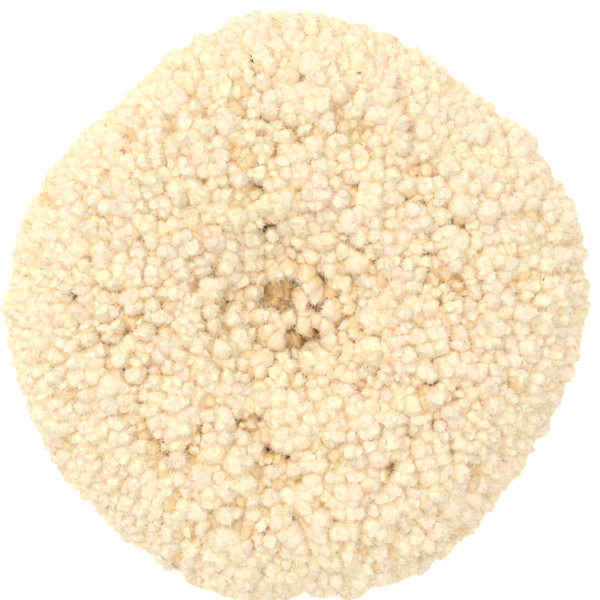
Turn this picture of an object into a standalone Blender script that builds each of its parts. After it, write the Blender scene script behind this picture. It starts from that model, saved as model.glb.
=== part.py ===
"""A hook-and-loop wool polishing pad, modelled as its separate layers and tufting rows.

The pad lies on its loop-fabric back with the wool up. The origin is on the spin axis, in the
plane of the loop fabric's back face. +Z runs along the spin axis towards the working face, and
the tufting rows run along X.

Rows are counted outwards from the spin axis, the upper ones towards +Y and the lower ones towards
-Y. The rows that the centring hole cuts through are a left and a right piece each.
"""

import math

import bmesh
import bpy
from mathutils import Matrix

# Driving dimensions, in metres.
BACKING_RADIUS = 0.080
WOOL_OVERHANG = 0.015
PILE_HEIGHT = 0.0258
HOLE_RADIUS = 0.0095
ROW_PITCH = 0.008

# Layers, from the back to the face.
LOOP_THICKNESS = 0.0015
LATEX_THICKNESS = 0.0005
CANVAS_THICKNESS = 0.0008
CORE_THICKNESS = 0.0095
LAYER_GAP = 0.0003

# The canvas lies flat on the loop fabric at the rim and round the hole, and over the core between.
BRIM_WIDTH = 0.007
EDGE_SLOPE_WIDTH = 0.014
HOLE_FLANGE_WIDTH = 0.006
HOLE_SLOPE_WIDTH = 0.011

# Seams. A lockstitch has one thread on each side of the layers.
THREAD_RADIUS = 0.0003
RIM_SEAM_INSET = 0.0055
HOLE_SEAM_INSET = 0.0035
OVERLOCK_REACH = 0.0028
OVERLOCK_THICKNESS = 0.0005

# Pile. The edge roll is how far in from the rim the face starts to round over.
ROOT_CLEARANCE = 0.0004
HOLE_TO_PILE = 0.0014
EDGE_ROLL = 0.033
EDGE_ROLL_HEIGHT = 0.017
DIMPLE_WIDTH = 0.025
DIMPLE_DEPTH = 0.012

# Rows lean outwards from FAN_START on, and the last few of them stand closer together.
FAN_START = 0.028
FAN_SPREAD = 0.0225
CLOSE_ROWS = 3
CLOSE_PITCH = 0.006

TURN_STEPS = 48
THREAD_SIDES = 6
SLOPE_POINTS = 4
ROLL_POINTS = 6
DIMPLE_POINTS = 4
CUT_MARGIN = 0.010

WOOL_COLOUR = (0.93, 0.83, 0.64, 1.0)
CANVAS_COLOUR = (0.78, 0.70, 0.55, 1.0)
LATEX_COLOUR = (0.86, 0.82, 0.70, 1.0)
FOAM_COLOUR = (0.30, 0.31, 0.33, 1.0)
LOOP_COLOUR = (0.83, 0.81, 0.76, 1.0)
THREAD_COLOUR = (0.88, 0.85, 0.78, 1.0)


def clear_scene():
    """Removes what the file opened with."""
    for obj in list(bpy.data.objects):
        bpy.data.objects.remove(obj)


def new_collection(name):
    """A collection in the scene."""
    collection = bpy.data.collections.new(name)
    bpy.context.scene.collection.children.link(collection)
    return collection


def new_material(name, colour, roughness):
    """A plain surface of one colour."""
    material = bpy.data.materials.new(name)
    material.use_nodes = True
    shader = material.node_tree.nodes["Principled BSDF"]
    shader.inputs["Base Color"].default_value = colour
    shader.inputs["Roughness"].default_value = roughness
    shader.inputs["Metallic"].default_value = 0.0
    return material


def new_object(name, mesh, collection, material=None):
    """An object that holds the mesh, linked to the collection."""
    obj = bpy.data.objects.new(name, mesh)
    collection.objects.link(obj)
    if material is not None:
        mesh.materials.append(material)
    return obj


def turned(name, profile, closed, collection, material=None):
    """A profile of (radius, height) points, turned about the Z axis."""
    mesh = bpy.data.meshes.new(name)
    edges = [(i, i + 1) for i in range(len(profile) - 1)]
    if closed:
        edges.append((len(profile) - 1, 0))
    mesh.from_pydata([(r, 0.0, z) for r, z in profile], edges, [])
    obj = new_object(name, mesh, collection, material)
    screw = obj.modifiers.new("Turn", "SCREW")
    screw.steps = screw.render_steps = TURN_STEPS
    screw.use_merge_vertices = True
    screw.merge_threshold = 0.00001
    screw.use_smooth_shade = True
    return obj


def offset_line(line, distance):
    """The line of (radius, height) points moved to its left by the distance, as seen along it."""
    moved = []
    last = len(line) - 1
    for i, (r, z) in enumerate(line):
        r0, z0 = line[max(i - 1, 0)]
        r1, z1 = line[min(i + 1, last)]
        length = math.hypot(r1 - r0, z1 - z0)
        across, up = -(z1 - z0) / length, (r1 - r0) / length
        moved.append((r + across * distance, z + up * distance))
    return moved


def slope(start, end, points):
    """An S-shaped stretch between two (radius, height) points, level at both of its ends."""
    found = []
    for i in range(points + 1):
        share = i / points
        rise = share * share * (3 - 2 * share)
        radius = start[0] + (end[0] - start[0]) * share
        found.append((radius, start[1] + (end[1] - start[1]) * rise))
    return found


def flange_height():
    """The height of the canvas's middle where it lies on the loop fabric."""
    return LOOP_THICKNESS + LAYER_GAP + CANVAS_THICKNESS / 2


def crown_height():
    """The height of the canvas's middle over the core."""
    core_top = LOOP_THICKNESS + LAYER_GAP + CORE_THICKNESS
    return core_top + LATEX_THICKNESS + 2 * LAYER_GAP + CANVAS_THICKNESS / 2


def arch_line():
    """The canvas's middle where it leaves the loop fabric, from the hole's side to the rim's."""
    low, high = flange_height(), crown_height()
    inner_foot = HOLE_RADIUS + HOLE_FLANGE_WIDTH
    outer_foot = BACKING_RADIUS - BRIM_WIDTH
    inner = slope((inner_foot, low), (inner_foot + HOLE_SLOPE_WIDTH, high), SLOPE_POINTS)
    outer = slope((outer_foot - EDGE_SLOPE_WIDTH, high), (outer_foot, low), SLOPE_POINTS)
    return inner + outer


def root_gap():
    """The room between the canvas and the pile, which the needle threads and the overlock fill."""
    return LAYER_GAP + max(2 * THREAD_RADIUS, OVERLOCK_THICKNESS) + ROOT_CLEARANCE


def pad_radius():
    """The radius over the wool."""
    return BACKING_RADIUS + WOOL_OVERHANG


def pad_height():
    """The height of the wool's highest circle."""
    return crown_height() + CANVAS_THICKNESS / 2 + PILE_HEIGHT


def canvas_line():
    """The canvas's middle, from the hole to the rim."""
    low = flange_height()
    return [(HOLE_RADIUS, low)] + arch_line() + [(BACKING_RADIUS, low)]


def arc(centre, across, up, start, end, points):
    """Part of an ellipse, in (radius, height) points, from one angle to another, in degrees."""
    found = []
    for i in range(points + 1):
        angle = math.radians(start + (end - start) * i / points)
        found.append((centre[0] + across * math.cos(angle), centre[1] + up * math.sin(angle)))
    return found


def face_line():
    """The outside of the pile, from the hole's edge over the dimple and the rolled edge to the rim."""
    crest = pad_height()
    start = HOLE_RADIUS + HOLE_TO_PILE
    dimple = slope((start, crest - DIMPLE_DEPTH), (start + DIMPLE_WIDTH, crest), DIMPLE_POINTS)
    centre = (pad_radius() - EDGE_ROLL, EDGE_ROLL_HEIGHT)
    upper = arc(centre, EDGE_ROLL, crest - EDGE_ROLL_HEIGHT, 90, 0, ROLL_POINTS)
    # The underside curls in until it meets the backing's edge just above the overlock.
    rim_angle = math.acos((BACKING_RADIUS - centre[0]) / EDGE_ROLL)
    drop = (EDGE_ROLL_HEIGHT - root_level()) / math.sin(rim_angle)
    lower = arc(centre, EDGE_ROLL, drop, 0, -math.degrees(rim_angle), ROLL_POINTS // 2)
    return dimple + upper + lower[1:]


def root_level():
    """The height of the pile's underside where the canvas lies flat."""
    return flange_height() + CANVAS_THICKNESS / 2 + root_gap()


def pile_body(collection):
    """The whole pile as one turned solid, which the rows are cut from."""
    roots = offset_line(arch_line(), CANVAS_THICKNESS / 2 + root_gap())
    underside = [(HOLE_RADIUS + HOLE_TO_PILE, root_level())] + roots
    body = turned("pile_body", face_line() + underside[::-1], True, collection)
    body.hide_render = True
    body.display_type = "WIRE"
    return body


def row_edges():
    """The Y places of the gaps between rows on one side, as (at the back, at the face) pairs.

    Rows stand upright in the middle and fan outwards over the edge, as the canvas curves away.
    """
    edges = []
    back = 0.0
    while back < BACKING_RADIUS - ROW_PITCH / 2:
        beyond = max(0.0, back - FAN_START) / (BACKING_RADIUS - FAN_START)
        edges.append((back, back + FAN_SPREAD * beyond * beyond * (1 + beyond)))
        # The canvas slopes away past the crown, so rows at one pitch along it are closer in plan.
        back += ROW_PITCH if back < BACKING_RADIUS - CLOSE_ROWS * ROW_PITCH else CLOSE_PITCH
    return edges


def row_prism(name, inner, outer, side, x_range, collection, material):
    """The slab between two row gaps, as a prism along X. side is 1 for +Y and -1 for -Y."""
    half = LAYER_GAP / 2
    low, high = -CUT_MARGIN, pad_height() + CUT_MARGIN

    def place(edge, z):
        """Where a gap stands at this height."""
        return edge[0] + (edge[1] - edge[0]) * z / pad_height()

    corners = [
        (place(inner, low) + half, low),
        (place(inner, high) + half, high),
        (place(outer, high) - half, high),
        (place(outer, low) - half, low),
    ]
    outline = bmesh.new()
    face = outline.faces.new([outline.verts.new((x_range[0], side * y, z)) for y, z in corners])
    grown = bmesh.ops.extrude_face_region(outline, geom=[face])
    tips = [item for item in grown["geom"] if isinstance(item, bmesh.types.BMVert)]
    bmesh.ops.translate(outline, verts=tips, vec=(x_range[1] - x_range[0], 0, 0))
    bmesh.ops.recalc_face_normals(outline, faces=outline.faces)
    mesh = bpy.data.meshes.new(name)
    outline.to_mesh(mesh)
    outline.free()
    return new_object(name, mesh, collection, material)


def pile_rows(collection, cutters, material):
    """Each tufting row of wool, cut from the pile body."""
    body = pile_body(cutters)
    edges = row_edges()
    reach = pad_radius() + CUT_MARGIN
    beyond = (reach, 2 * reach)
    count = len(edges)
    for place, side in (("upper", 1), ("lower", -1)):
        for i, inner in enumerate(edges):
            outer = edges[i + 1] if i + 1 < count else beyond
            name = f"{place}_row_{i + 1:02d}"
            crosses_hole = outer[0] < HOLE_RADIUS + HOLE_TO_PILE
            spans = {"": (-reach, reach)}
            if crosses_hole:
                spans = {"_left": (-reach, 0.0), "_right": (0.0, reach)}
            for ending, x_range in spans.items():
                row = row_prism(name + ending, inner, outer, side, x_range, collection, material)
                cut = row.modifiers.new("Pile", "BOOLEAN")
                cut.operation = "INTERSECT"
                cut.object = body


def tufting_canvas(collection, material):
    """The woven canvas that the yarn is tufted through, sewn down at the rim and round the hole."""
    canvas = turned("tufting_canvas", canvas_line(), False, collection, material)
    wall = canvas.modifiers.new("Cloth", "SOLIDIFY")
    wall.thickness = CANVAS_THICKNESS
    wall.offset = 0.0


def latex_coat(collection, material):
    """The latex on the canvas's back that locks the tufts."""
    drop = CANVAS_THICKNESS / 2 + LAYER_GAP + LATEX_THICKNESS / 2
    coat = turned("latex_coat", offset_line(arch_line()[1:-1], -drop), False, collection, material)
    wall = coat.modifiers.new("Coat", "SOLIDIFY")
    wall.thickness = LATEX_THICKNESS
    wall.offset = 0.0


def foam_core(collection, material):
    """The ring of foam between the loop fabric and the canvas."""
    drop = CANVAS_THICKNESS / 2 + LATEX_THICKNESS + 2 * LAYER_GAP
    bottom = LOOP_THICKNESS + LAYER_GAP
    top = [point for point in offset_line(arch_line(), -drop) if point[1] > bottom + LAYER_GAP]
    feet = [(top[-1][0], bottom), (top[0][0], bottom)]
    turned("foam_core", top + feet, True, collection, material)


def loop_backing(collection, material):
    """The loop fabric, with a groove pressed into its face by each seam and a thinned rim."""
    groove_half = THREAD_RADIUS + LAYER_GAP
    groove_depth = 2 * groove_half - LAYER_GAP
    pinch = OVERLOCK_THICKNESS + 2 * LAYER_GAP
    rim_start = BACKING_RADIUS - OVERLOCK_REACH - LAYER_GAP
    face = [(HOLE_RADIUS, 0.0)]
    for seam in (HOLE_RADIUS + HOLE_SEAM_INSET, BACKING_RADIUS - RIM_SEAM_INSET):
        face += [
            (seam - groove_half, 0.0),
            (seam - groove_half, groove_depth),
            (seam + groove_half, groove_depth),
            (seam + groove_half, 0.0),
        ]
    face += [(rim_start, 0.0), (rim_start, pinch), (BACKING_RADIUS, pinch)]
    top = [(HOLE_RADIUS, LOOP_THICKNESS), (BACKING_RADIUS, LOOP_THICKNESS)]
    turned("loop_backing", top + face[::-1], True, collection, material)


def thread_ring(name, radius, height, collection, material):
    """One thread of a lockstitch seam, lying along its circle."""
    bpy.ops.mesh.primitive_torus_add(
        major_segments=TURN_STEPS,
        minor_segments=THREAD_SIDES,
        major_radius=radius,
        minor_radius=THREAD_RADIUS,
        location=(0, 0, height),
    )
    ring = bpy.context.object
    ring.name = ring.data.name = name
    ring.data.transform(Matrix.Translation(ring.location))
    ring.location = (0, 0, 0)
    ring.data.shade_smooth()
    ring.data.materials.append(material)
    for held_by in list(ring.users_collection):
        held_by.objects.unlink(ring)
    collection.objects.link(ring)


def seams(collection, material):
    """The two lockstitch seams: a bobbin thread in the loop face, a needle thread on the canvas."""
    in_groove = LAYER_GAP / 2 + THREAD_RADIUS
    on_canvas = flange_height() + CANVAS_THICKNESS / 2 + LAYER_GAP + THREAD_RADIUS
    places = {
        "rim_seam": BACKING_RADIUS - RIM_SEAM_INSET,
        "hole_seam": HOLE_RADIUS + HOLE_SEAM_INSET,
    }
    for seam, radius in places.items():
        thread_ring(seam + "_bobbin_thread", radius, in_groove, collection, material)
        thread_ring(seam + "_needle_thread", radius, on_canvas, collection, material)


def rim_overlock(collection, material):
    """The overlock thread that wraps the cut edges of the loop fabric and the canvas."""
    thick = OVERLOCK_THICKNESS
    low = LAYER_GAP
    high = flange_height() + CANVAS_THICKNESS / 2 + LAYER_GAP + thick
    outside = BACKING_RADIUS + LAYER_GAP + thick
    lip = BACKING_RADIUS - OVERLOCK_REACH
    outline = [
        (lip, high),
        (outside, high),
        (outside, low),
        (lip, low),
        (lip, low + thick),
        (outside - thick, low + thick),
        (outside - thick, high - thick),
        (lip, high - thick),
    ]
    turned("rim_overlock_thread", outline, True, collection, material)


def main():
    """Builds the pad."""
    clear_scene()
    pad = new_collection("polishing_pad")
    cutters = new_collection("cutters")
    wool = new_material("wool_yarn", WOOL_COLOUR, 0.95)
    canvas = new_material("cotton_canvas", CANVAS_COLOUR, 0.9)
    latex = new_material("latex", LATEX_COLOUR, 0.5)
    foam = new_material("polyurethane_foam", FOAM_COLOUR, 0.9)
    loops = new_material("nylon_loop", LOOP_COLOUR, 0.8)
    thread = new_material("polyester_thread", THREAD_COLOUR, 0.6)
    pile_rows(pad, cutters, wool)
    tufting_canvas(pad, canvas)
    latex_coat(pad, latex)
    foam_core(pad, foam)
    loop_backing(pad, loops)
    seams(pad, thread)
    rim_overlock(pad, thread)


main()
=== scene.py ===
import logging
import math
from dataclasses import dataclass
from enum import Enum
from functools import partial
from typing import Any, Callable, Iterable, Mapping, Sequence

import bmesh
import bpy
import numpy as np
from bpy.types import ID, Material, Mesh, Node, NodeOutputs, NodeSocket, NodeTree, Object
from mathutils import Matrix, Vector

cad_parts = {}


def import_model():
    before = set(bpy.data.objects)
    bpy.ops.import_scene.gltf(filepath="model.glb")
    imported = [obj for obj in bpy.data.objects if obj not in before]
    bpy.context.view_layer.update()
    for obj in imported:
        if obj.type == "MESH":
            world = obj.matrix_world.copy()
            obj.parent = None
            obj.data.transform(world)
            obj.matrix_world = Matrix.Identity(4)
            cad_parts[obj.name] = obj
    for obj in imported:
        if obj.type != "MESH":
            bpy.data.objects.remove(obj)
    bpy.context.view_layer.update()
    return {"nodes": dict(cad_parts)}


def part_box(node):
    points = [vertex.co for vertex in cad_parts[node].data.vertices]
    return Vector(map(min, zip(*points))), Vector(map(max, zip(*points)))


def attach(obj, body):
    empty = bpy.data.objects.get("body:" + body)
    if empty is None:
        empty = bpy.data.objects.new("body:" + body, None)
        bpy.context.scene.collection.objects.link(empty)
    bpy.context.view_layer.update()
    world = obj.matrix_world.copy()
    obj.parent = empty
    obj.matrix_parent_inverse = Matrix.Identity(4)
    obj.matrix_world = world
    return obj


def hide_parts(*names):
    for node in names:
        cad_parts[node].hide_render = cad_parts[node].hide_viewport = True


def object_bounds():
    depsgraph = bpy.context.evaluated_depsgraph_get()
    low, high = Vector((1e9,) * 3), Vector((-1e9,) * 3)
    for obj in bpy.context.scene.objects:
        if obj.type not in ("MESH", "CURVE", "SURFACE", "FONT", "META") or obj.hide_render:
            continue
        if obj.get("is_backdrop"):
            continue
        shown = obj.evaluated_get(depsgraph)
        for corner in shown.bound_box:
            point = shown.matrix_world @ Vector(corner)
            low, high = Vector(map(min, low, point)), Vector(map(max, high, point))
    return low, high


LOG = logging.getLogger("polishing_pad")
BODY = "root"
MM = 0.001
SEED = 7

Add = Callable[..., Node]
Legs = dict[str, np.ndarray]
Line = list[tuple[float, float]]


# ---------------- node and mesh helpers


def linear(colour: str) -> tuple[float, float, float, float]:
    """Turns an sRGB hex colour into linear light.

    Args:
        colour: Six hex digits, such as "F4E8CC".

    Returns:
        Red, green, blue and an alpha of 1.
    """
    shares = [int(colour[i : i + 2], 16) / 255 for i in (0, 2, 4)]
    red, green, blue = (s / 12.92 if s <= 0.04045 else ((s + 0.055) / 1.055) ** 2.4 for s in shares)
    return red, green, blue, 1.0


def add_node(tree: NodeTree, kind: str, values: Mapping[str | int, Any] | None = None) -> Node:
    """Adds a node with its settings and links.

    Args:
        tree: The tree that the node goes in.
        kind: Blender's identifier of the node.
        values: Names of properties and names or numbers of inputs, and what each is set to. An
            output is linked, and a node by its first output.

    Returns:
        The new node.
    """
    node = tree.nodes.new(kind)
    for key, value in (values or {}).items():
        if isinstance(value, (Node, NodeSocket)):
            tree.links.new(value.outputs[0] if isinstance(value, Node) else value, node.inputs[key])
        elif isinstance(key, str) and hasattr(node, key):
            setattr(node, key, value)
        else:
            node.inputs[key].default_value = value
    return node


def new_tree(name: str, inputs: Mapping[str, float]) -> tuple[NodeTree, Add, NodeOutputs]:
    """Starts a Geometry Nodes tree that takes a geometry, some numbers and a material.

    Args:
        name: The tree's name.
        inputs: Name and default of each number that it takes.

    Returns:
        The tree, what adds a node to it, and its inputs as its nodes read them.
    """
    tree = bpy.data.node_groups.new(name, "GeometryNodeTree")
    for way in ("INPUT", "OUTPUT"):
        tree.interface.new_socket("Geometry", in_out=way, socket_type="NodeSocketGeometry")
    for label, default in inputs.items():
        kind = "NodeSocketInt" if isinstance(default, int) else "NodeSocketFloat"
        tree.interface.new_socket(label, in_out="INPUT", socket_type=kind).default_value = default
    tree.interface.new_socket("Material", in_out="INPUT", socket_type="NodeSocketMaterial")
    return tree, partial(add_node, tree), add_node(tree, "NodeGroupInput").outputs


def end_tree(add: Add, geometry: Node, given: NodeOutputs) -> None:
    """Ends a Geometry Nodes tree: its copies are made real, and its material is set.

    Args:
        add: What adds a node to it.
        geometry: The node that gives its geometry.
        given: The tree's inputs.
    """
    real = add("GeometryNodeRealizeInstances", {"Geometry": geometry})
    dressed = add("GeometryNodeSetMaterial", {"Geometry": real, "Material": given["Material"]})
    add("NodeGroupOutput", {"Geometry": dressed})


def grow(obj: Object, tree: NodeTree, values: Mapping[str, Any]) -> Object:
    """Runs a Geometry Nodes tree on an object and keeps the result as its plain mesh.

    Args:
        obj: The object that holds the tree's input geometry.
        tree: The tree.
        values: Input names and what they are set to.

    Returns:
        The same object, with its new mesh and no modifier.
    """
    modifier = obj.modifiers.new(tree.name, "NODES")
    modifier.node_group = tree
    for item in tree.interface.items_tree:
        if item.item_type == "SOCKET" and item.in_out == "INPUT" and item.name in values:
            modifier[item.identifier] = values[item.name]
    return settle(obj)


def settle(obj: Object) -> Object:
    """Replaces an object's mesh by what its modifiers make of it.

    Args:
        obj: The object.

    Returns:
        The same object, without modifiers.
    """
    graph = bpy.context.evaluated_depsgraph_get()
    source = obj.evaluated_get(graph)
    mesh = bpy.data.meshes.new_from_object(source, preserve_all_data_layers=True, depsgraph=graph)
    obj.modifiers.clear()
    obj.data = mesh
    mesh.name = obj.name
    return obj


def place(name: str, data: ID) -> Object:
    """Links a new object at the origin.

    Args:
        name: The object's name.
        data: Its mesh, light or camera.

    Returns:
        The object.
    """
    obj = bpy.data.objects.new(name, data)
    bpy.context.scene.collection.objects.link(obj)
    return obj


def turned(name: str, outline: Line, steps: int) -> Object:
    """Turns a closed outline about the Z axis.

    Args:
        name: The object's name.
        outline: Radius and height points, round the section once.
        steps: How many sections stand round the axis.

    Returns:
        A closed ring, smooth-shaded, with its faces pointing out.
    """
    count = len(outline)
    turns = np.linspace(0, 2 * math.pi, steps, endpoint=False)
    points = [(r * math.cos(a), r * math.sin(a), z) for a in turns for r, z in outline]
    faces = [
        (s * count + i, s * count + j, t * count + j, t * count + i)
        for s, t in ((s, (s + 1) % steps) for s in range(steps))
        for i, j in ((i, (i + 1) % count) for i in range(count))
    ]
    mesh = bpy.data.meshes.new(name)
    mesh.from_pydata(points, [], faces)
    shaped = bmesh.new()
    shaped.from_mesh(mesh)
    bmesh.ops.recalc_face_normals(shaped, faces=shaped.faces)
    shaped.to_mesh(mesh)
    shaped.free()
    mesh.shade_smooth()
    return place(name, mesh)


def smooth_rise(share: float | np.ndarray) -> float | np.ndarray:
    """An S-shaped rise from 0 to 1 that is level at both ends."""
    share = np.clip(share, 0, 1)
    return share * share * (3 - 2 * share)


def plain_material(name: str, values: Mapping[str, Any]) -> Material:
    """Makes a material.

    Args:
        name: The material's name.
        values: Names of its Principled shader's inputs and what they are set to.

    Returns:
        The material.
    """
    material = bpy.data.materials.new(name)
    material.use_nodes = True
    for label, value in values.items():
        material.node_tree.nodes["Principled BSDF"].inputs[label].default_value = value
    return material


def finish_piece(obj: Object, nodes: Sequence[str] = (), finish: Material | None = None) -> Object:
    """Makes an object part of the pad.

    Args:
        obj: The piece, with its final mesh.
        nodes: The CAD nodes that it stands for.
        finish: Its material, where the mesh has none yet.

    Returns:
        The same object.
    """
    if finish is not None:
        obj.data.materials.clear()
        obj.data.materials.append(finish)
    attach(obj, BODY)
    if nodes:
        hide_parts(*nodes)
    LOG.info("%s: %d faces", obj.name, len(obj.data.polygons))
    return obj


# ---------------- finishes


@dataclass(frozen=True)
class Finish:
    """What every finish holds: its colours, how it meets light and how deep its relief is."""

    name: str
    colour: str
    # The darker colour of each pattern; on the wool it is the painted shade deep in the pile.
    dark_and_shade_colour: str
    roughness: float
    sheen: float = 0.0
    specular: float = 0.3
    relief: float = 0.3 * MM
    relief_strength: float = 0.8

    def shader_values(self) -> dict[str, Any]:
        """Gives the shader's plain values.

        Returns:
            Names of the shader's inputs and what they are set to.
        """
        return {
            "Base Color": linear(self.colour),
            "Roughness": self.roughness,
            "Sheen Weight": self.sheen,
            "Sheen Roughness": 0.5,
            "Specular IOR Level": self.specular,
        }

    def material(self) -> Material:
        """Makes the material, with its pattern as colour and as relief.

        Returns:
            The material.
        """
        material = plain_material(self.name, self.shader_values())
        tree = material.node_tree
        shader, add = tree.nodes["Principled BSDF"], partial(add_node, tree)
        shade, height = self.pattern(add, add("ShaderNodeTexCoord").outputs["Object"])
        bump = {"Strength": self.relief_strength, "Distance": self.relief, "Height": height}
        tree.links.new(shade, shader.inputs["Base Color"])
        tree.links.new(add("ShaderNodeBump", bump).outputs[0], shader.inputs["Normal"])
        return material

    def pattern(self, add: Add, spot: NodeSocket) -> tuple[NodeSocket, Node | NodeSocket]:
        """Draws what the surface shows; each finish has its own.

        Args:
            add: What adds a node to the material.
            spot: The piece's own coordinates.

        Returns:
            The colour, and the height of the relief.
        """
        raise NotImplementedError

    def mix(self, add: Add, share: Node | NodeSocket, low: Any, high: Any) -> NodeSocket:
        """Mixes two colours, each a hex colour or an output.

        Args:
            add: What adds a node to the material.
            share: What mixes them, from 0 to 1.
            low: The colour at 0.
            high: The colour at 1.

        Returns:
            The mixed colour.
        """
        low, high = (linear(colour) if isinstance(colour, str) else colour for colour in (low, high))
        # A Mix node's sixth and seventh inputs are its two colours, and its third output is the result.
        return add("ShaderNodeMix", {"data_type": "RGBA", 0: share, 6: low, 7: high}).outputs[2]


@dataclass(frozen=True)
class WoolYarn(Finish):
    """Four-ply twisted wool yarn, spun from undyed fleece and cut.

    To the eye: a matt, slightly glowing cream with fine fibres along it, each end a little yellower
    or pinker than its neighbour. A warm tan painted shade covers it towards its roots, where light only
    reaches it through other yarn.
    """

    pink_colour: str = "FAECDB"
    sheen_colour: str = "FFF6E2"
    yarn: float = 2 * MM
    fibre: float = 0.3 * MM  # real fibres are 0.03 mm, which is too fine to show
    fibre_run: float = 1.6 * MM
    fibre_contrast: float = 0.16
    glow: float = 0.2
    glow_depth: float = 1.0 * MM

    def shader_values(self) -> dict[str, Any]:
        """Adds the glow of light that has passed through the yarn.

        Returns:
            Names of the shader's inputs and what they are set to.
        """
        return super().shader_values() | {
            "Subsurface Weight": self.glow,
            "Subsurface Radius": (1.0, 0.72, 0.42),
            "Subsurface Scale": self.glow_depth,
            "Sheen Tint": linear(self.sheen_colour),
        }

    def pattern(self, add: Add, spot: NodeSocket) -> tuple[NodeSocket, Node | NodeSocket]:
        """Draws fibres that run along the yarn and turn with its twist, and its painted shade, from its own
        attributes.

        Args:
            add: What adds a node to the material.
            spot: The piece's own coordinates, which the yarn leaves alone.

        Returns:
            The colour, and the height of the relief.
        """
        tone, deep, run, around = (
            add("ShaderNodeAttribute", {"attribute_name": label}).outputs[output]
            for label, output in (("tone", "Fac"), ("deep", "Fac"), ("from_tip", "Fac"), ("around", "Vector"))
        )
        shade = self.mix(add, tone, self.colour, self.pink_colour)
        # Painted shade: the colour turns to the tan shade colour as deep grows towards the root.
        fall = {"interpolation_type": "SMOOTHSTEP", "From Min": 0.15, "From Max": 1.0, "Value": deep}
        shade = self.mix(add, add("ShaderNodeMapRange", fall), shade, self.dark_and_shade_colour)
        lift = add("ShaderNodeCombineXYZ", {"Z": run})
        finer = {"operation": "SCALE", "Scale": self.yarn / self.fibre, 0: around}
        across = add("ShaderNodeVectorMath", finer)
        longer = {"operation": "MULTIPLY_ADD", 0: lift, 1: (0, 0, 1 / self.fibre_run), 2: across}
        shift = add("ShaderNodeMath", {"operation": "MULTIPLY", 0: tone, 1: 200.0})
        noise = {"noise_dimensions": "4D", "Scale": 1.0, "Detail": 2.0, "Roughness": 0.6, "W": shift}
        fibres = add("ShaderNodeTexNoise", noise | {"Vector": add("ShaderNodeVectorMath", longer)})
        faint = {"From Min": 0.3, "From Max": 0.7, "To Max": self.fibre_contrast, "Value": fibres}
        return self.mix(add, add("ShaderNodeMapRange", faint), shade, self.dark_and_shade_colour), fibres


@dataclass(frozen=True)
class WovenCotton(Finish):
    """Plain-woven cotton canvas, unbleached.

    To the eye: a dull oatmeal cloth with square over-and-under threads.
    """

    thread: float = 0.9 * MM
    slub: float = 6 * MM

    def pattern(self, add: Add, spot: NodeSocket) -> tuple[NodeSocket, Node | NodeSocket]:
        """Draws threads along X and Y, with slubs.

        Args:
            add: What adds a node to the material.
            spot: The piece's own coordinates.

        Returns:
            The colour, and the height of the relief.
        """
        bands = {"Scale": math.pi / self.thread / 10, "Distortion": 0.6, "Detail Scale": 2.0, "Vector": spot}
        across, along = (
            add("ShaderNodeTexWave", {"bands_direction": way, **bands}).outputs["Fac"] for way in ("X", "Y")
        )
        weave = add("ShaderNodeMath", {"operation": "MULTIPLY", 0: across, 1: along})
        slubs = add("ShaderNodeTexNoise", {"Scale": 1 / self.slub, "Detail": 3.0, "Vector": spot})
        shade = self.mix(add, weave, self.dark_and_shade_colour, self.colour)
        return self.mix(add, slubs, shade, self.colour), weave


@dataclass(frozen=True)
class CellularSurface(Finish):
    """A surface made of cells or grains: cast latex, open-cell foam or brushed nylon loop.

    To the eye: foam shows dark open pores, latex a lumpy satin skin, and nylon loop a pale,
    cloudy nap.
    """

    cell: float = 0.8 * MM
    cloud: float = 14 * MM
    open_cells: bool = True

    def pattern(self, add: Add, spot: NodeSocket) -> tuple[NodeSocket, Node | NodeSocket]:
        """Draws a cell pattern over a cloudy one.

        Args:
            add: What adds a node to the material.
            spot: The piece's own coordinates.

        Returns:
            The colour, and the height of the relief.
        """
        kind, detail = ("Voronoi", {"Randomness": 1.0}) if self.open_cells else ("Noise", {"Detail": 4.0})
        cells = add("ShaderNodeTex" + kind, {"Scale": 1 / self.cell, "Vector": spot} | detail)
        clouds = add("ShaderNodeTexNoise", {"Scale": 1 / self.cloud, "Detail": 3.0, "Vector": spot})
        both = add("ShaderNodeMath", {"operation": "MULTIPLY_ADD", 0: cells, 1: 0.7, 2: clouds})
        level = add("ShaderNodeMapRange", {"From Min": 0.35, "From Max": 0.95, "Value": both})
        return self.mix(add, level, self.dark_and_shade_colour, self.colour), cells


@dataclass(frozen=True)
class SpunThread(Finish):
    """Spun polyester sewing thread.

    To the eye: an off-white cord with a slight gloss and its two plies wound round each other.
    """

    ply: float = 0.5 * MM

    def pattern(self, add: Add, spot: NodeSocket) -> tuple[NodeSocket, Node | NodeSocket]:
        """Draws the plies as slanting bands.

        Args:
            add: What adds a node to the material.
            spot: The piece's own coordinates.

        Returns:
            The colour, and the height of the relief.
        """
        bands = {"bands_direction": "DIAGONAL", "Scale": math.pi / self.ply / 10, "Distortion": 1.0}
        plies = add("ShaderNodeTexWave", bands | {"Vector": spot}).outputs["Fac"]
        return self.mix(add, plies, self.dark_and_shade_colour, self.colour), plies


# EBCE96 is the tan of the painted shade deep in the pile.
WOOL = WoolYarn(
    "wool_yarn_twisted", "FAF1D5", "EBCE96", 0.92,
    sheen=0.1, specular=0.1, relief=0.2 * MM, relief_strength=0.5,
)
CANVAS = WovenCotton("cotton_canvas_woven", "D9CBA8", "A48F66", 0.92, sheen=0.1, specular=0.15)
LATEX = CellularSurface(
    "latex_cast", "E6DDC2", "CDBF9A", 0.5, relief=0.2 * MM, cell=1.4 * MM, open_cells=False
)
FOAM = CellularSurface("polyurethane_foam_open_cell", "6A6C70", "2E3034", 0.9, cell=0.9 * MM)
LOOP = CellularSurface(
    "nylon_loop_brushed", "E6E2D8", "BEB8AA", 0.75, sheen=0.4, cell=0.7 * MM, open_cells=False
)
THREAD = SpunThread(
    "polyester_thread_spun", "EFE9DA", "BFB59D", 0.55, sheen=0.15, relief=0.1 * MM, relief_strength=0.6
)


# ---------------- the pad's form


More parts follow.
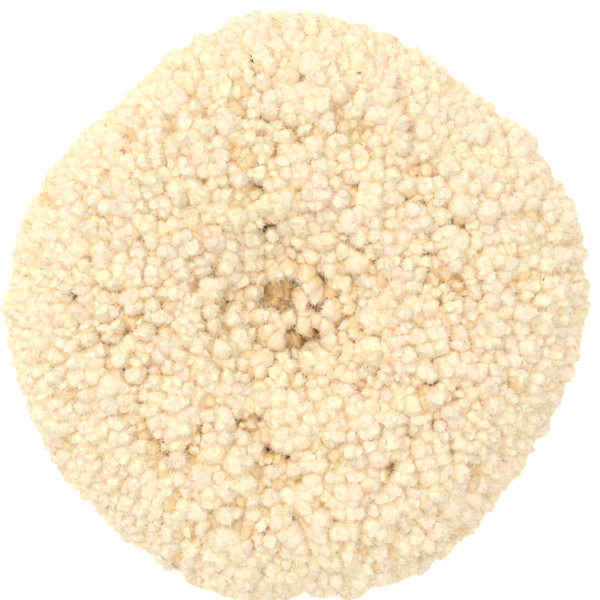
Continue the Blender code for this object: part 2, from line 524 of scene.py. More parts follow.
@dataclass(frozen=True)
class PadForm:
    """The pad's sizes, read off the CAD solids, and the lines that its pieces follow."""

    hole: float
    backing: float
    rim: float
    crest: float
    canvas_low: float
    canvas_high: float
    dimple_width: float = 25 * MM
    dimple_depth: float = 12 * MM
    edge_roll: float = 33 * MM
    roll_height: float = 17 * MM
    hole_lip: float = 1.4 * MM
    hole_flange: float = 6 * MM
    hole_slope: float = 11 * MM
    brim: float = 7 * MM
    edge_slope: float = 14 * MM

    @classmethod
    def read(cls, nodes: Mapping[str, Object]) -> "PadForm":
        """Reads the sizes off the CAD nodes.

        Args:
            nodes: The frame's CAD nodes.

        Returns:
            The form.
        """
        reach = [math.hypot(v.co.x, v.co.y) for v in nodes["loop_backing"].data.vertices]
        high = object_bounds()[1]
        low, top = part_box("rim_seam_needle_thread")[0].z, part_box("tufting_canvas")[1].z
        return cls(min(reach), max(reach), high.y, high.z, low, top)

    def face_line(self, steps: int = 24) -> np.ndarray:
        """The wool's outside, from the hole over the dimple and the rolled edge to the backing's rim.

        Args:
            steps: How many points each stretch has.

        Returns:
            Radius and height points, in metres.
        """
        share = np.linspace(0, 1, steps)
        dimple_radius = self.hole + self.hole_lip + self.dimple_width * share
        dimple = (dimple_radius, self.crest - self.dimple_depth * (1 - smooth_rise(share)))
        centre = self.rim - self.edge_roll
        turn = np.radians(90 - 90 * share)
        rise = self.crest - self.roll_height
        upper = (centre + self.edge_roll * np.cos(turn), self.roll_height + rise * np.sin(turn))
        last = math.acos((self.backing - centre) / self.edge_roll)
        drop = (self.roll_height - self.canvas_low - 1 * MM) / math.sin(last)
        turn = -last * share[1:]
        lower = (centre + self.edge_roll * np.cos(turn), self.roll_height + drop * np.sin(turn))
        return np.hstack((dimple, upper, lower)).T

    def canvas_line(self, steps: int = 12) -> np.ndarray:
        """The top of the canvas, from the hole to the rim.

        Args:
            steps: How many points each slope has.

        Returns:
            Radius and height points, in metres.
        """
        share = np.linspace(0, 1, steps)
        rise = (self.canvas_high - self.canvas_low) * smooth_rise(share)
        inner = (self.hole + self.hole_flange + self.hole_slope * share, self.canvas_low + rise)
        outer = (self.backing - self.brim - self.edge_slope * (1 - share), self.canvas_high - rise)
        start, end = [[self.hole], [self.canvas_low]], [[self.backing], [self.canvas_low]]
        return np.hstack((start, inner, outer, end)).T


class Along:
    """A line of radius and height points that can be read by its length."""

    def __init__(self, line: np.ndarray) -> None:
        """Measures the line.

        Args:
            line: Radius and height points.
        """
        self.line = line
        self.marks = np.concatenate(([0.0], np.cumsum(np.hypot(*np.diff(line, axis=0).T))))
        self.length = float(self.marks[-1])

    def at(self, mark: float | np.ndarray) -> tuple[np.ndarray, np.ndarray]:
        """The line's points at these lengths.

        Args:
            mark: Lengths from the line's start.

        Returns:
            The radii and the heights.
        """
        return np.interp(mark, self.marks, self.line[:, 0]), np.interp(mark, self.marks, self.line[:, 1])

    def out_of(self, mark: np.ndarray, step: float = 0.5 * MM) -> tuple[np.ndarray, np.ndarray]:
        """The line's normals, to its left as seen along it.

        Args:
            mark: Lengths from the line's start.
            step: How far to each side the line is looked at.

        Returns:
            The normals' radial and upright parts.
        """
        r0, z0 = self.at(mark - step)
        r1, z1 = self.at(mark + step)
        size = np.hypot(r1 - r0, z1 - z0)
        return -(z1 - z0) / size, (r1 - r0) / size

    def mark_of(self, radius: float | np.ndarray) -> float | np.ndarray:
        """The lengths at which the line first reaches these radii.

        Args:
            radius: The radii.

        Returns:
            Lengths from the line's start.
        """
        rising = int(np.argmax(self.line[:, 0])) + 1
        return np.interp(radius, self.line[:rising, 0], self.marks[:rising])


# ---------------- the wool


@dataclass(frozen=True)
class Dent:
    """A stretch of the rim where the wool is pressed in or, with a depth less than 0, stands out.

    Its bearing and half its width are in degrees, from +X towards +Y.
    """

    bearing: float
    width: float
    depth: float


@dataclass(frozen=True)
class Pit:
    """A dark gap of radius reach near the hole, where the yarn parts."""

    x: float
    y: float
    reach: float


@dataclass(frozen=True)
class Ring:
    """A ring of yarn ends over the hole, its drop measured from the dimple's floor.

    An upper ring's ends part round the pits. Its shade is painted shade: light for the upper rings, deep for
    those low in the hole.
    """

    radius: float
    drop: float
    count: int
    shade: float
    upper: bool = False


@dataclass
class WoolPile:
    """The cut pile: yarn ends in tufting rows, leaning out over the edge and in over the hole."""

    form: PadForm
    line_pitch: float = 4.0 * MM
    line_pairing: float = 0.15 * MM
    stitch: float = 4.0 * MM
    yarn: float = 2.1 * MM
    belly: float = 1.55
    jitter: float = 0.7 * MM
    uneven: float = 0.5 * MM
    drift_size: float = 0.5 * MM
    sway_wave: float = 17 * MM
    height_wave: float = 24 * MM
    row_end: float = 70 * MM
    bend_radius: float = 45 * MM
    root_insets: tuple[float, float] = (3 * MM, 2.5 * MM)
    inset: float = 1.7 * MM
    tuft_ends: int = 2
    tuft_pull: tuple[float, float, float] = (0.45, 0.15, 0.2)
    tuft_uneven: float = 0.6 * MM
    sunk_share: float = 0.09
    sunk_drop: float = 2.4 * MM
    sunk_shade: float = 0.6
    tries: int = 9000
    short_gap: float = 2.8 * MM
    short_drop: float = 1.6 * MM
    short_shade: float = 0.3
    bloom: float = 0.46
    lie_down: float = 0.3
    # Painted shade grows to full over this depth below each tip, and more slowly on the edge's ends and the
    # upper hole rings.
    shade_depth: float = 5.0 * MM
    fibres: float = 1.15
    rim_clearance: float = 4.5 * MM
    edge_shade_cut: float = 0.7
    hole_shade_rate: float = 0.6
    dimple_shade: float = 0.38
    dimple_shade_from: float = 8 * MM
    dimple_shade_width: float = 7 * MM
    pit_drop: float = 1.2 * MM
    twist: float = 9 * MM
    dents: tuple[Dent, ...] = (
        Dent(126, 20, 5.5 * MM),
        Dent(322, 18, 5.0 * MM),
        Dent(46, 16, 4.0 * MM),
        Dent(218, 12, 1.5 * MM),
        Dent(8, 20, -2.2 * MM),
        Dent(88, 18, -2.4 * MM),
        Dent(249, 9, -2.2 * MM),
        Dent(277, 9, -2.0 * MM),
    )
    pits: tuple[Pit, ...] = (
        Pit(-5.4 * MM, 3.0 * MM, 3.0 * MM),
        Pit(-1.8 * MM, 4.2 * MM, 3.0 * MM),
        Pit(8.0 * MM, 6.7 * MM, 2.0 * MM),
        Pit(0.0 * MM, -9.4 * MM, 3.2 * MM),
        Pit(4.8 * MM, -9.6 * MM, 1.6 * MM),
    )
    rings: tuple[Ring, ...] = (
        Ring(9.6 * MM, 0.4 * MM, 12, 0.25, upper=True),
        Ring(5.6 * MM, -1.6 * MM, 7, 0.25, upper=True),
        Ring(1.6 * MM, -2.6 * MM, 3, 0.25, upper=True),
        Ring(8.4 * MM, -7.0 * MM, 16, 0.8),
        Ring(5.4 * MM, -8.5 * MM, 12, 0.9),
        Ring(2.4 * MM, -9.5 * MM, 6, 0.9),
        Ring(0.1 * MM, -10.5 * MM, 2, 0.9),
    )

    def __post_init__(self) -> None:
        """Measures the two lines that the yarn runs between, and seeds what is random."""
        self.random = np.random.default_rng(SEED)
        self.face = Along(self.form.face_line())
        self.canvas = Along(self.form.canvas_line())
        self.waves = self.random.uniform(-1, 1, (3, 10, 4))

    def drift(self, which: int, x: np.ndarray, y: np.ndarray, wavelength: float) -> np.ndarray:
        """A smooth random field over the pad's plan, from about -1 to 1.

        Args:
            which: Which of the three fields.
            x: Places along X.
            y: Places along Y.
            wavelength: The size of its waves.

        Returns:
            The field's values.
        """
        total = np.zeros_like(x)
        for across, up, size, start in self.waves[which]:
            reach = math.hypot(across, up) + 0.1
            turn = 2 * math.pi / wavelength * (0.7 + 0.5 * abs(size))
            total += np.sin(turn * (across * x + up * y) / reach + math.pi * start)
        return total / 4

    def top_ends(self) -> np.ndarray:
        """Lays out the yarn ends of the face's middle, in straight rows.

        Returns:
            Lengths along the face line and bearings, one row for each end.
        """
        found = []
        lines = int(self.row_end // self.line_pitch)
        for k in range(-lines - 1, lines + 1):
            # The two lines of one row stand a little closer than two rows do.
            y = (k + 0.5) * self.line_pitch + (self.line_pairing if k % 2 else -self.line_pairing)
            x = np.arange(-self.row_end, self.row_end, self.stitch) + (0.5 if k % 2 else 0.0) * self.stitch
            found.append(np.column_stack((x, np.full_like(x, y))))
        ends = np.vstack(found)
        ends += self.random.uniform(-self.jitter, self.jitter, ends.shape)
        radius = np.hypot(*ends.T)
        kept = (radius > self.form.hole + 2.5 * MM) & (radius < self.row_end)
        return np.column_stack((self.face.mark_of(radius[kept]), np.arctan2(*ends[kept, ::-1].T)))

    def edge_ends(self) -> np.ndarray:
        """Lays out the yarn ends of the rolled edge, in rings down to the backing's rim.

        Returns:
            Lengths along the face line and bearings, one row for each end.
        """
        found = []
        mark = self.face.mark_of(self.row_end) + 0.6 * self.stitch
        while mark < self.face.length - self.rim_clearance:
            radius, height = self.face.at(mark)
            # Low on the edge, where little of it shows, the ends stand further apart.
            pitch = self.stitch if height > self.form.roll_height - 6 * MM else 1.2 * self.stitch
            count = int(2 * math.pi * radius / pitch)
            bearings = 2 * math.pi * (np.arange(count) + self.random.uniform()) / count
            ring = np.column_stack((np.full(count, mark), bearings))
            found.append(ring + self.random.uniform(-self.jitter, self.jitter, ring.shape) * [1, 1 / radius])
            mark += 0.92 * pitch
        return np.vstack(found)

    def stand(self, mark: np.ndarray, bearing: np.ndarray, drop: float | np.ndarray) -> Legs:
        """Stands yarn on the canvas, each end at its place on the face.

        Args:
            mark: Lengths along the face line.
            bearing: Bearings round the axis, in radians.
            drop: How far each end stays below the face.

        Returns:
            Roots and tips, the directions in which the yarn leaves and arrives, how much painted shade
            each end has, and how fast that painted shade grows towards its root.
        """
        radius, height = self.face.at(mark)
        out_r, out_z = self.face.out_of(mark)
        # Past the crest the ends lie down along the roll, so the yarn's side shows there; along it the
        # painted shade grows more slowly.
        crest_end = self.face.mark_of(self.form.rim - self.form.edge_roll)
        over = smooth_rise((mark - crest_end) / self.form.edge_roll)
        lie = self.lie_down * over
        way_r, way_z = out_r * (1 - lie) + out_z * lie, out_z * (1 - lie) - out_r * lie
        radius, height = radius - out_r * drop, height - out_z * drop
        radius = radius - self.dent_at(bearing, radius)
        x, y = radius * np.cos(bearing), radius * np.sin(bearing)
        shift = [self.drift_size * self.drift(which, x, y, self.sway_wave) for which in (1, 2)]
        x, y, sunk = self.part_round_pits(x + shift[0], y + shift[1])
        bends = [0, self.face.mark_of(self.bend_radius), self.face.length]
        after, before = self.root_insets
        roots = [after, self.canvas.mark_of(self.bend_radius), self.canvas.length - before]
        root_mark = np.interp(mark, bends, roots)
        root_r, root_z = self.canvas.at(root_mark)
        up_r, up_z = self.canvas.out_of(root_mark)
        # Painted shade on the ends in and near the dimple.
        inside = 1 - smooth_rise((radius - self.dimple_shade_from) / self.dimple_shade_width)
        return {
            "root": np.column_stack((np.cos(bearing) * root_r, np.sin(bearing) * root_r, root_z)),
            "rise": np.column_stack((np.cos(bearing) * up_r, np.sin(bearing) * up_r, up_z)),
            "tip": np.column_stack((x, y, height - sunk)),
            "way": np.column_stack((np.cos(bearing) * way_r, np.sin(bearing) * way_r, way_z)),
            "shade": self.dimple_shade * inside,
            "fade": 1 - self.edge_shade_cut * over,
        }

    def legs(self) -> Legs:
        """Lays out every yarn end of the face and the edge.

        Returns:
            What stand() gives for each, and its tone.
        """
        mark, bearing = np.vstack((self.top_ends(), self.edge_ends())).T
        radius = self.face.at(mark)[0]
        waves = self.drift(0, radius * np.cos(bearing), radius * np.sin(bearing), self.height_wave)
        drop = self.random.normal(self.inset, self.uneven, len(mark)) - self.drift_size * waves
        return self.fill_gaps(self.gather(self.stand(mark, bearing, drop)))

    def gather(self, legs: Legs) -> Legs:
        """Draws neighbouring ends together into tufts of unlike height and tone, a few of them sunk.

        Args:
            legs: The legs as stand() gives them.

        Returns:
            The legs with their tips moved, the sunk ones lowered and given painted shade, and a tone for
            each.
        """
        tips = legs["tip"]
        heads = tips[self.random.permutation(len(tips))[: len(tips) // self.tuft_ends]]
        mine = np.argmin(np.linalg.norm(tips[:, None] - heads[None], axis=2), axis=1)
        lift = self.random.normal(0, self.tuft_uneven, len(heads))[mine]
        tone = 0.7 * self.random.uniform(0, 1, len(heads))[mine] + 0.3 * self.random.uniform(0, 1, len(tips))
        sunk = (self.random.uniform(0, 1, len(heads)) < self.sunk_share)[mine]
        # Sunk ends sit lower, in real shade, and also get painted shade.
        lift = lift - self.sunk_drop * sunk
        moved = tips + (heads[mine] - tips) * np.array(self.tuft_pull) + legs["way"] * lift[:, None]
        return {**legs, "tip": moved, "tone": tone, "shade": legs["shade"] + self.sunk_shade * sunk}

    def fill_gaps(self, legs: Legs) -> Legs:
        """Adds a shorter yarn end wherever the others leave a gap.

        Args:
            legs: The legs so far.

        Returns:
            Those legs and the shorter ones.
        """
        mark = self.random.uniform(0, self.face.length - self.rim_clearance, self.tries)
        bearing = self.random.uniform(-math.pi, math.pi, self.tries)
        spare = self.stand(mark, bearing, self.inset + self.short_drop)
        open_to = self.stand(mark, bearing, self.inset)["tip"]
        kept: list[int] = []
        count = len(legs["tip"])
        taken = np.vstack((legs["tip"], np.empty((self.tries, 3))))
        for i in range(self.tries):
            if np.min(np.sum((taken[:count] - open_to[i]) ** 2, axis=1)) > self.short_gap**2:
                kept.append(i)
                taken[count] = open_to[i]
                count += 1
        spare["tone"] = self.random.uniform(0, 1, self.tries)
        # The shorter ends get a random painted shade, as they stand lower in the pile.
        spare["shade"] += self.random.uniform(0, 2 * self.short_shade, self.tries)
        LOG.info("shorter yarn ends: %d", len(kept))
        return {key: np.concatenate((legs[key], spare[key][kept])) for key in legs}

    def hole_legs(self) -> Legs:
        """Lays out the yarn that falls across the hole, in rings one below the other.

        Returns:
            The legs, as legs() gives them.
        """
        floor = self.form.crest - self.form.dimple_depth
        found = []
        for index, ring in enumerate(self.rings):
            for i in range(ring.count):
                bearing = 2 * math.pi * (i + 0.37 * index) / ring.count + self.random.uniform(-0.2, 0.2)
                out = np.array((math.cos(bearing), math.sin(bearing)))
                x, y = self.random.uniform(-0.6, 0.6, 2) * MM + ring.radius * out
                if ring.upper:
                    x, y, _ = self.part_round_pits(x, y)
                z = floor + ring.drop + self.random.uniform(-0.8, 0.8) * MM
                start = self.form.hole + self.random.uniform(1.5, 3.5) * MM
                found.append({
                    "root": (*(out * start), self.form.canvas_low),
                    "rise": (0.0, 0.0, 1.0),
                    "tip": (x, y, z),
                    "way": (*(-0.8 * out), 0.6),
                    # Painted shade on the yarn in the hole; the upper rings' ends get it more slowly towards
                    # the root.
                    "shade": ring.shade,
                    "fade": self.hole_shade_rate if ring.upper else 1.0,
                })
        legs = {key: np.array([leg[key] for leg in found]) for key in found[0]}
        return {**legs, "tone": self.random.uniform(0, 1, len(found))}

    def dent_at(self, bearing: np.ndarray, radius: np.ndarray) -> np.ndarray:
        """Says how far the dents press the wool in.

        Args:
            bearing: Bearings round the axis, in radians.
            radius: Distances from the axis.

        Returns:
            How much nearer to the axis each place comes.
        """
        pressed = np.zeros_like(radius)
        for dent in self.dents:
            off = (np.degrees(bearing) - dent.bearing + 180) % 360 - 180
            pressed += dent.depth * np.exp(-((off / dent.width) ** 2))
        return pressed * smooth_rise((radius - 50 * MM) / (40 * MM))

    def part_round_pits(self, x: np.ndarray, y: np.ndarray) -> tuple[np.ndarray, np.ndarray, np.ndarray]:
        """Moves yarn ends off the pits.

        Args:
            x: Places along X.
            y: Places along Y.

        Returns:
            The moved places, and how far each end sinks.
        """
        sunk = np.zeros_like(x)
        for pit in self.pits:
            dx, dy = x - pit.x, y - pit.y
            away = np.hypot(dx, dy) + 1e-9
            push = np.clip(pit.reach + 1.5 * self.yarn - away, 0, None)
            x, y = x + dx / away * push, y + dy / away * push
            sunk = sunk + self.pit_drop * np.exp(-((away / (1.6 * pit.reach)) ** 2))
        return x, y, sunk

    def build(self, nodes: Mapping[str, Object], finish: Material) -> None:
        """Makes one piece of wool for each row of the CAD model.

        Args:
            nodes: The frame's CAD nodes.
            finish: The wool's material.
        """
        face, hole = self.legs(), self.hole_legs()
        legs = {key: np.concatenate((face[key], hole[key])) for key in face}
        legs["thick"] = self.bloom_of(legs["tip"])
        legs["thick"][-len(hole["tip"]) :] = self.yarn
        rows = sorted(name for name in nodes if "_row_" in name)
        homes = np.array([np.mean([v.co[:] for v in nodes[name].data.vertices], axis=0) for name in rows])
        # The rows fan out as they rise, so an end's place says more than its root's.
        middle = 0.3 * legs["root"] + 0.7 * legs["tip"]
        # Left and right halves share a Y, so X only decides between those two.
        gap = np.abs(middle[:, None, 1] - homes[None, :, 1])
        gap += 1e-3 * np.abs(middle[:, None, 0] - homes[None, :, 0])
        owner = np.argmin(gap, axis=1)
        sweep = YarnSweep().tree()
        for index, name in enumerate(rows):
            mesh = self.yarn_lines(name, {key: value[owner == index] for key, value in legs.items()})
            piece = place("wool_" + name, mesh)
            grow(piece, sweep, {"Fibre Density": self.fibres / MM**2, "Seed": index, "Material": finish})
            finish_piece(piece, [name])

    def bloom_of(self, tips: np.ndarray) -> np.ndarray:
        """How thick each end is: it blooms until it meets its neighbours.

        Args:
            tips: The ends' places.

        Returns:
            Their radii.
        """
        gaps = np.sqrt(np.sum((tips[:, None] - tips[None]) ** 2, axis=2))
        # Its third to sixth neighbours: nearer ones are of its own tuft.
        room = np.mean(np.partition(gaps, range(7), axis=1)[:, 3:7], axis=1)
        thick = self.bloom * room * self.random.normal(1, 0.18, len(tips))
        return np.clip(thick, 0.7 * self.yarn, 1.6 * self.yarn)

    def yarn_lines(self, name: str, legs: Legs) -> Mesh:
        """Draws each yarn end as a bent line that carries its thickness, twist, tone and painted shade.

        Args:
            name: The mesh's name.
            legs: The row's legs.

        Returns:
            A mesh of lines, from the roots to the tips.
        """
        # Stations are distances from the tip, close together where the end rounds over.
        stations = np.array([0.0, 0.3, 0.8, 1.5, 2.4, 3.6, 5.6, 9.0, 15.0]) * MM
        count, steps = len(legs["tip"]), len(stations) + 1
        length = np.linalg.norm(legs["tip"] - legs["root"], axis=1) * 1.08
        way = legs["way"] / np.linalg.norm(legs["way"], axis=1)[:, None]
        near = np.minimum(stations[None, :], 0.94 * length[:, None])
        share = np.column_stack((np.zeros(count), 1 - near[:, ::-1] / length[:, None]))
        t = share[:, :, None]
        p0, p3 = legs["root"][:, None], legs["tip"][:, None]
        p1 = p0 + (legs["rise"] * 0.40 * length[:, None])[:, None]
        p2 = p3 - (way * 0.45 * length[:, None])[:, None]
        points = p0 * (1 - t) ** 3 + 3 * p1 * t * (1 - t) ** 2 + 3 * p2 * t**2 * (1 - t) + p3 * t**3
        from_tip = (1 - share) * length[:, None]
        dome = np.sqrt(np.clip(1 - (1 - np.clip(from_tip / (1.1 * MM), 0, 1)) ** 2, 0.3, 1))
        # The yarn is fullest a little below its end, where it fills the gaps to its neighbours.
        full = 1 + (self.belly - 1) * smooth_rise((from_tip - 0.3 * MM) / (3.4 * MM))
        taper = 1 - 0.6 * smooth_rise((from_tip - 9 * MM) / (12 * MM))
        start = self.random.uniform(0, 2 * math.pi, count)
        # Painted shade, stored as deep: it grows from the tip towards the root at the rate the end's fade
        # sets, on top of the end's own shade.
        dark = legs["fade"][:, None] * from_tip / self.shade_depth + legs["shade"][:, None]
        mesh = bpy.data.meshes.new(name + "_lines")
        first = np.arange(count)[:, None] * steps + np.arange(steps - 1)[None, :]
        edges = np.column_stack((first.ravel(), first.ravel() + 1))
        mesh.from_pydata(points.reshape(-1, 3).tolist(), edges.tolist(), [])
        facts = {
            "thick": legs["thick"][:, None] * dome * full * taper,
            "spin": start[:, None] + from_tip / self.twist * 2 * math.pi,
            "tone": np.repeat(legs["tone"], steps),
            "deep": np.clip(dark, 0, 1),
            "from_tip": from_tip,
            # Lumps fade towards the root, where they would fold the thinner yarn.
            "loose": 1 - 0.75 * smooth_rise((from_tip - 6 * MM) / (8 * MM)),
        }
        for label, values in facts.items():
            attribute = mesh.attributes.new(label, "FLOAT", "POINT")
            attribute.data.foreach_set("value", values.ravel().astype(np.float32))
        return mesh


@dataclass
class YarnSweep:
    """The tree that gives yarn lines their round, four-ply body and their loose fibres."""

    sides: int = 10
    ply_depth: float = 0.1
    lump: float = 1.05 * MM
    lump_size: float = 3.2 * MM
    fibre_length: float = 1.5 * MM
    fibre_radius: float = 0.1 * MM  # a lock of fibres: single ones are too fine to show

    def tree(self) -> NodeTree:
        """Builds the tree.

        Returns:
            A tree with inputs for its sizes, its seed and its material.
        """
        inputs = {
            "Sides": self.sides,
            "Ply Depth": self.ply_depth,
            "Lump": self.lump,
            "Lump Size": self.lump_size,
            "Fibre Length": self.fibre_length,
            "Fibre Radius": self.fibre_radius,
            "Fibre Density": 0.0,
            "Seed": 0,
        }
        tree, add, given = new_tree("yarn_sweep", inputs)
        read = {
            name: add("GeometryNodeInputNamedAttribute", {"Name": name})
            for name in ("spin", "thick", "loose", "from_tip")
        }
        yarn = self.body(add, given, read)
        both = add("GeometryNodeJoinGeometry", {"Geometry": yarn})
        tree.links.new(self.fuzz(add, given, read, yarn).outputs[0], both.inputs["Geometry"])
        end_tree(add, both, given)
        return tree

    def body(self, add: Add, given: NodeOutputs, read: Mapping[str, Node]) -> Node:
        """Sweeps a lobed section along the lines and makes it uneven.

        Args:
            add: What adds a node to the tree.
            given: The tree's inputs.
            read: What the lines carry.

        Returns:
            The node that gives the yarn's mesh.
        """
        curve = add("GeometryNodeMeshToCurve", {"Mesh": given["Geometry"]})
        curve = add("GeometryNodeSetCurveTilt", {"Curve": curve, "Tilt": read["spin"]})
        circle = add("GeometryNodeCurvePrimitiveCircle", {"Radius": 1.0, "Resolution": given["Sides"]})
        spot = add("GeometryNodeInputPosition")
        # Every other point of the section is drawn in, as the groove between two plies.
        odd = add("ShaderNodeMath", {"operation": "MODULO", 0: add("GeometryNodeInputIndex"), 1: 2.0})
        groove = add("ShaderNodeMath", {"operation": "MULTIPLY", 0: odd, 1: given["Ply Depth"]})
        inward = add("ShaderNodeMath", {"operation": "SUBTRACT", 0: 1.0, 1: groove})
        lobed = add("ShaderNodeVectorMath", {"operation": "SCALE", 0: spot, "Scale": inward})
        around = {"data_type": "FLOAT_VECTOR", "Name": "around", "Geometry": circle, "Value": spot}
        section = add("GeometryNodeStoreNamedAttribute", around)
        section = add("GeometryNodeSetPosition", {"Geometry": section, "Position": lobed})
        sweep = {"Fill Caps": True, "Curve": curve, "Profile Curve": section, "Scale": read["thick"]}
        mesh = add("GeometryNodeCurveToMesh", sweep)
        fineness = add("ShaderNodeMath", {"operation": "DIVIDE", 0: 1.0, 1: given["Lump Size"]})
        noise = add("ShaderNodeTexNoise", {"Detail": 1.0, "Scale": fineness, "Vector": spot}).outputs["Color"]
        centred = add("ShaderNodeVectorMath", {"operation": "SUBTRACT", 0: noise, 1: (0.5, 0.5, 0.5)})
        # The noise keeps near its middle, so it is spread four times as wide to reach a lump's height.
        reach = add("ShaderNodeMath", {"operation": "MULTIPLY", 0: given["Lump"], 1: 4.0})
        reach = add("ShaderNodeMath", {"operation": "MULTIPLY", 0: reach, 1: read["loose"]})
        offset = add("ShaderNodeVectorMath", {"operation": "SCALE", 0: centred, "Scale": reach})
        mesh = add("GeometryNodeSetPosition", {"Geometry": mesh, "Offset": offset})
        return add("GeometryNodeSetShadeSmooth", {"Geometry": mesh})

    def fuzz(self, add: Add, given: NodeOutputs, read: Mapping[str, Node], yarn: Node) -> Node:
        """Sets loose fibres on the yarn's upper part, where they show.

        Args:
            add: What adds a node to the tree.
            given: The tree's inputs.
            read: What the lines carry.
            yarn: The node that gives the yarn's mesh.

        Returns:
            The node that gives copies of one fibre.
        """
        seed = given["Seed"]
        fall = {"From Min": 3.2 * MM, "From Max": 2 * MM, "Value": read["from_tip"]}
        upper = add("ShaderNodeMapRange", fall)
        density = add("ShaderNodeMath", {"operation": "MULTIPLY", 0: upper, 1: given["Fibre Density"]})
        over = {"Mesh": yarn, "Density": density, "Seed": seed}
        spots = add("GeometryNodeDistributePointsOnFaces", over).outputs
        sizes = {"Radius Bottom": given["Fibre Radius"], "Depth": given["Fibre Length"]}
        fibre = add("GeometryNodeMeshCone", {"Vertices": 3, "Radius Top": 0.0} | sizes)
        leaning = {"data_type": "FLOAT_VECTOR", 0: (-0.9, -0.9, -3.1), 1: (0.9, 0.9, 3.1), "Seed": seed}
        turn = add("FunctionNodeEulerToRotation", {"Euler": add("FunctionNodeRandomValue", leaning)})
        both = {"rotation_space": "LOCAL", "Rotation": spots["Rotation"], "Rotate By": turn}
        facing = add("FunctionNodeRotateRotation", both)
        sizing = {"data_type": "FLOAT", 2: 0.5, 3: 1.7, "Seed": seed}
        size = add("FunctionNodeRandomValue", sizing).outputs[1]
        copies = {"Points": spots["Points"], "Instance": fibre, "Rotation": facing, "Scale": size}
        return add("GeometryNodeInstanceOnPoints", copies)


# ---------------- layers behind the wool


